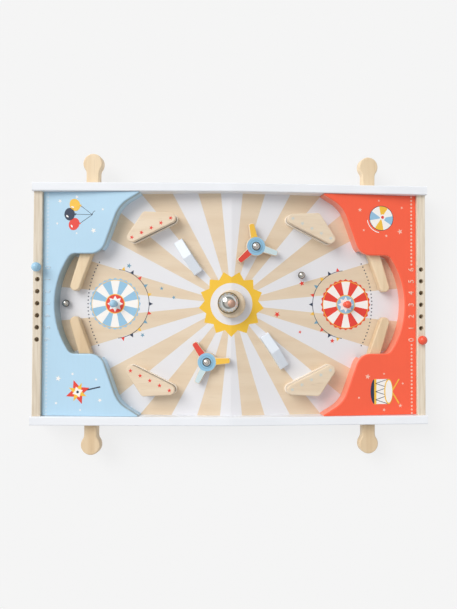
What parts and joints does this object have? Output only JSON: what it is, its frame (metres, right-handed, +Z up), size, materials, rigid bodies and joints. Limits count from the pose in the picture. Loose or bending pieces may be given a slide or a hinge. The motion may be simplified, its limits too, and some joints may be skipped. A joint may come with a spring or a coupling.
{
  "type": "tabletop pinball game",
  "caption": "Wooden two-player tabletop pinball: a railed case with ridged sloping boards, hand levers, bumpers, spinners, a bell, goal posts and score pegs.",
  "frame": {"origin": "centre of the bounding box in plan, on the plane of the feet", "axes": "+X along the case towards the red end, +Y across it towards the back rail, +Z up"},
  "size_m": [0.6, 0.458, 0.0751],
  "materials": {
    "white_paint": "smooth satin white paint over wood",
    "natural_wood": "sanded pale beech with clear satin lacquer",
    "printed_plywood": "printed plywood with satin lacquer",
    "blue_paint": "satin light blue paint over wood",
    "coral_paint": "satin coral red paint over wood",
    "bright_chrome": "polished plating",
    "steel": "plain zinc-plated steel",
    "foot_rubber": "soft translucent rubber",
    "elastic_band": "cream elastic",
    "white_plastic": "matte nylon"
  },
  "bodies": {
    "case": {"bell_base": "natural_wood", "bell_gong": "bright_chrome", "bell_stud": "steel", "bumper_left_back_band": "elastic_band", "bumper_left_back_base": "natural_wood", "bumper_left_back_core": "natural_wood", "bumper_left_back_top": "natural_wood", "bumper_left_front_band": "elastic_band", "bumper_left_front_base": "natural_wood", "bumper_left_front_core": "natural_wood", "bumper_left_front_top": "natural_wood", "bumper_right_back_band": "elastic_band", "bumper_right_back_base": "natural_wood", "bumper_right_back_core": "natural_wood", "bumper_right_back_top": "natural_wood", "bumper_right_front_band": "elastic_band", "bumper_right_front_base": "natural_wood", "bumper_right_front_core": "natural_wood", "bumper_right_front_top": "natural_wood", "corner_spacers_left": "blue_paint", "corner_spacers_right": "coral_paint", "deck_left": "blue_paint", "deck_right": "coral_paint", "end_wall_left": "natural_wood", "end_wall_right": "natural_wood", "feet": "foot_rubber", "flipper_pivots": "steel", "flipper_washers": "steel", "frame_screws": "steel", "goal_post_left": "blue_paint", "goal_post_right": "coral_paint", "gutter_left": "blue_paint", "gutter_right": "coral_paint", "hop_block_left": "white_paint", "hop_block_right": "white_paint", "panel_cleats": "natural_wood", "playfield_left": "printed_plywood", "playfield_right": "printed_plywood", "rail_back": "white_paint", "rail_front": "white_paint", "ridge_beam": "natural_wood", "spinner_bolts": "bright_chrome", "spinner_nuts": "steel", "spinner_sleeves": "white_plastic"},
    "flipper_right_back": {"flipper_right_back": "natural_wood"},
    "flipper_right_front": {"flipper_right_front": "natural_wood"},
    "flipper_left_back": {"flipper_left_back": "natural_wood"},
    "flipper_left_front": {"flipper_left_front": "natural_wood"},
    "spinner_right": {"spinner_right": "natural_wood"},
    "spinner_left": {"spinner_left": "natural_wood"},
    "score_peg_right": {"score_peg_right": "coral_paint"},
    "score_peg_left": {"score_peg_left": "blue_paint"},
    "ball_right": {"ball_right": "bright_chrome"},
    "ball_left": {"ball_left": "bright_chrome"}
  },
  "joints": [
    {"name": "flipper_right_back_pivot", "type": "hinge", "parent": "case", "child": "flipper_right_back", "pos_m": [0.21154, 0.105, 0.02881], "axis": [-0.1045, 0, -0.9945], "range_deg": [0, 30]},
    {"name": "flipper_right_front_pivot", "type": "hinge", "parent": "case", "child": "flipper_right_front", "pos_m": [0.21154, -0.105, 0.02881], "axis": [0.1045, 0, 0.9945], "range_deg": [0, 30]},
    {"name": "flipper_left_front_pivot", "type": "hinge", "parent": "case", "child": "flipper_left_front", "pos_m": [-0.21154, -0.105, 0.02881], "axis": [0.1045, 0, -0.9945], "range_deg": [0, 30]},
    {"name": "flipper_left_back_pivot", "type": "hinge", "parent": "case", "child": "flipper_left_back", "pos_m": [-0.21154, 0.105, 0.02881], "axis": [-0.1045, 0, 0.9945], "range_deg": [0, 30]},
    {"name": "spinner_right_axle", "type": "hinge", "parent": "case", "child": "spinner_right", "pos_m": [0.03652, 0.08754, 0.0472], "axis": [0.1045, 0, 0.9945], "continuous": true},
    {"name": "spinner_left_axle", "type": "hinge", "parent": "case", "child": "spinner_left", "pos_m": [-0.03652, -0.08754, 0.0472], "axis": [-0.1045, 0, 0.9945], "continuous": true},
    {"name": "score_peg_right_lift", "type": "slide", "parent": "case", "child": "score_peg_right", "axis": [0, 0, 1], "range_m": [0, 0.03]},
    {"name": "score_peg_left_lift", "type": "slide", "parent": "case", "child": "score_peg_left", "axis": [0, 0, 1], "range_m": [0, 0.03]},
    {"name": "ball_right_roll", "type": "slide", "parent": "case", "child": "ball_right", "axis": [0.9945, 0, -0.1045], "range_m": [-0.06, 0.07]},
    {"name": "ball_left_roll", "type": "slide", "parent": "case", "child": "ball_left", "axis": [0.9945, 0, 0.1045], "range_m": [-0.005, 0.06]}
  ]
}
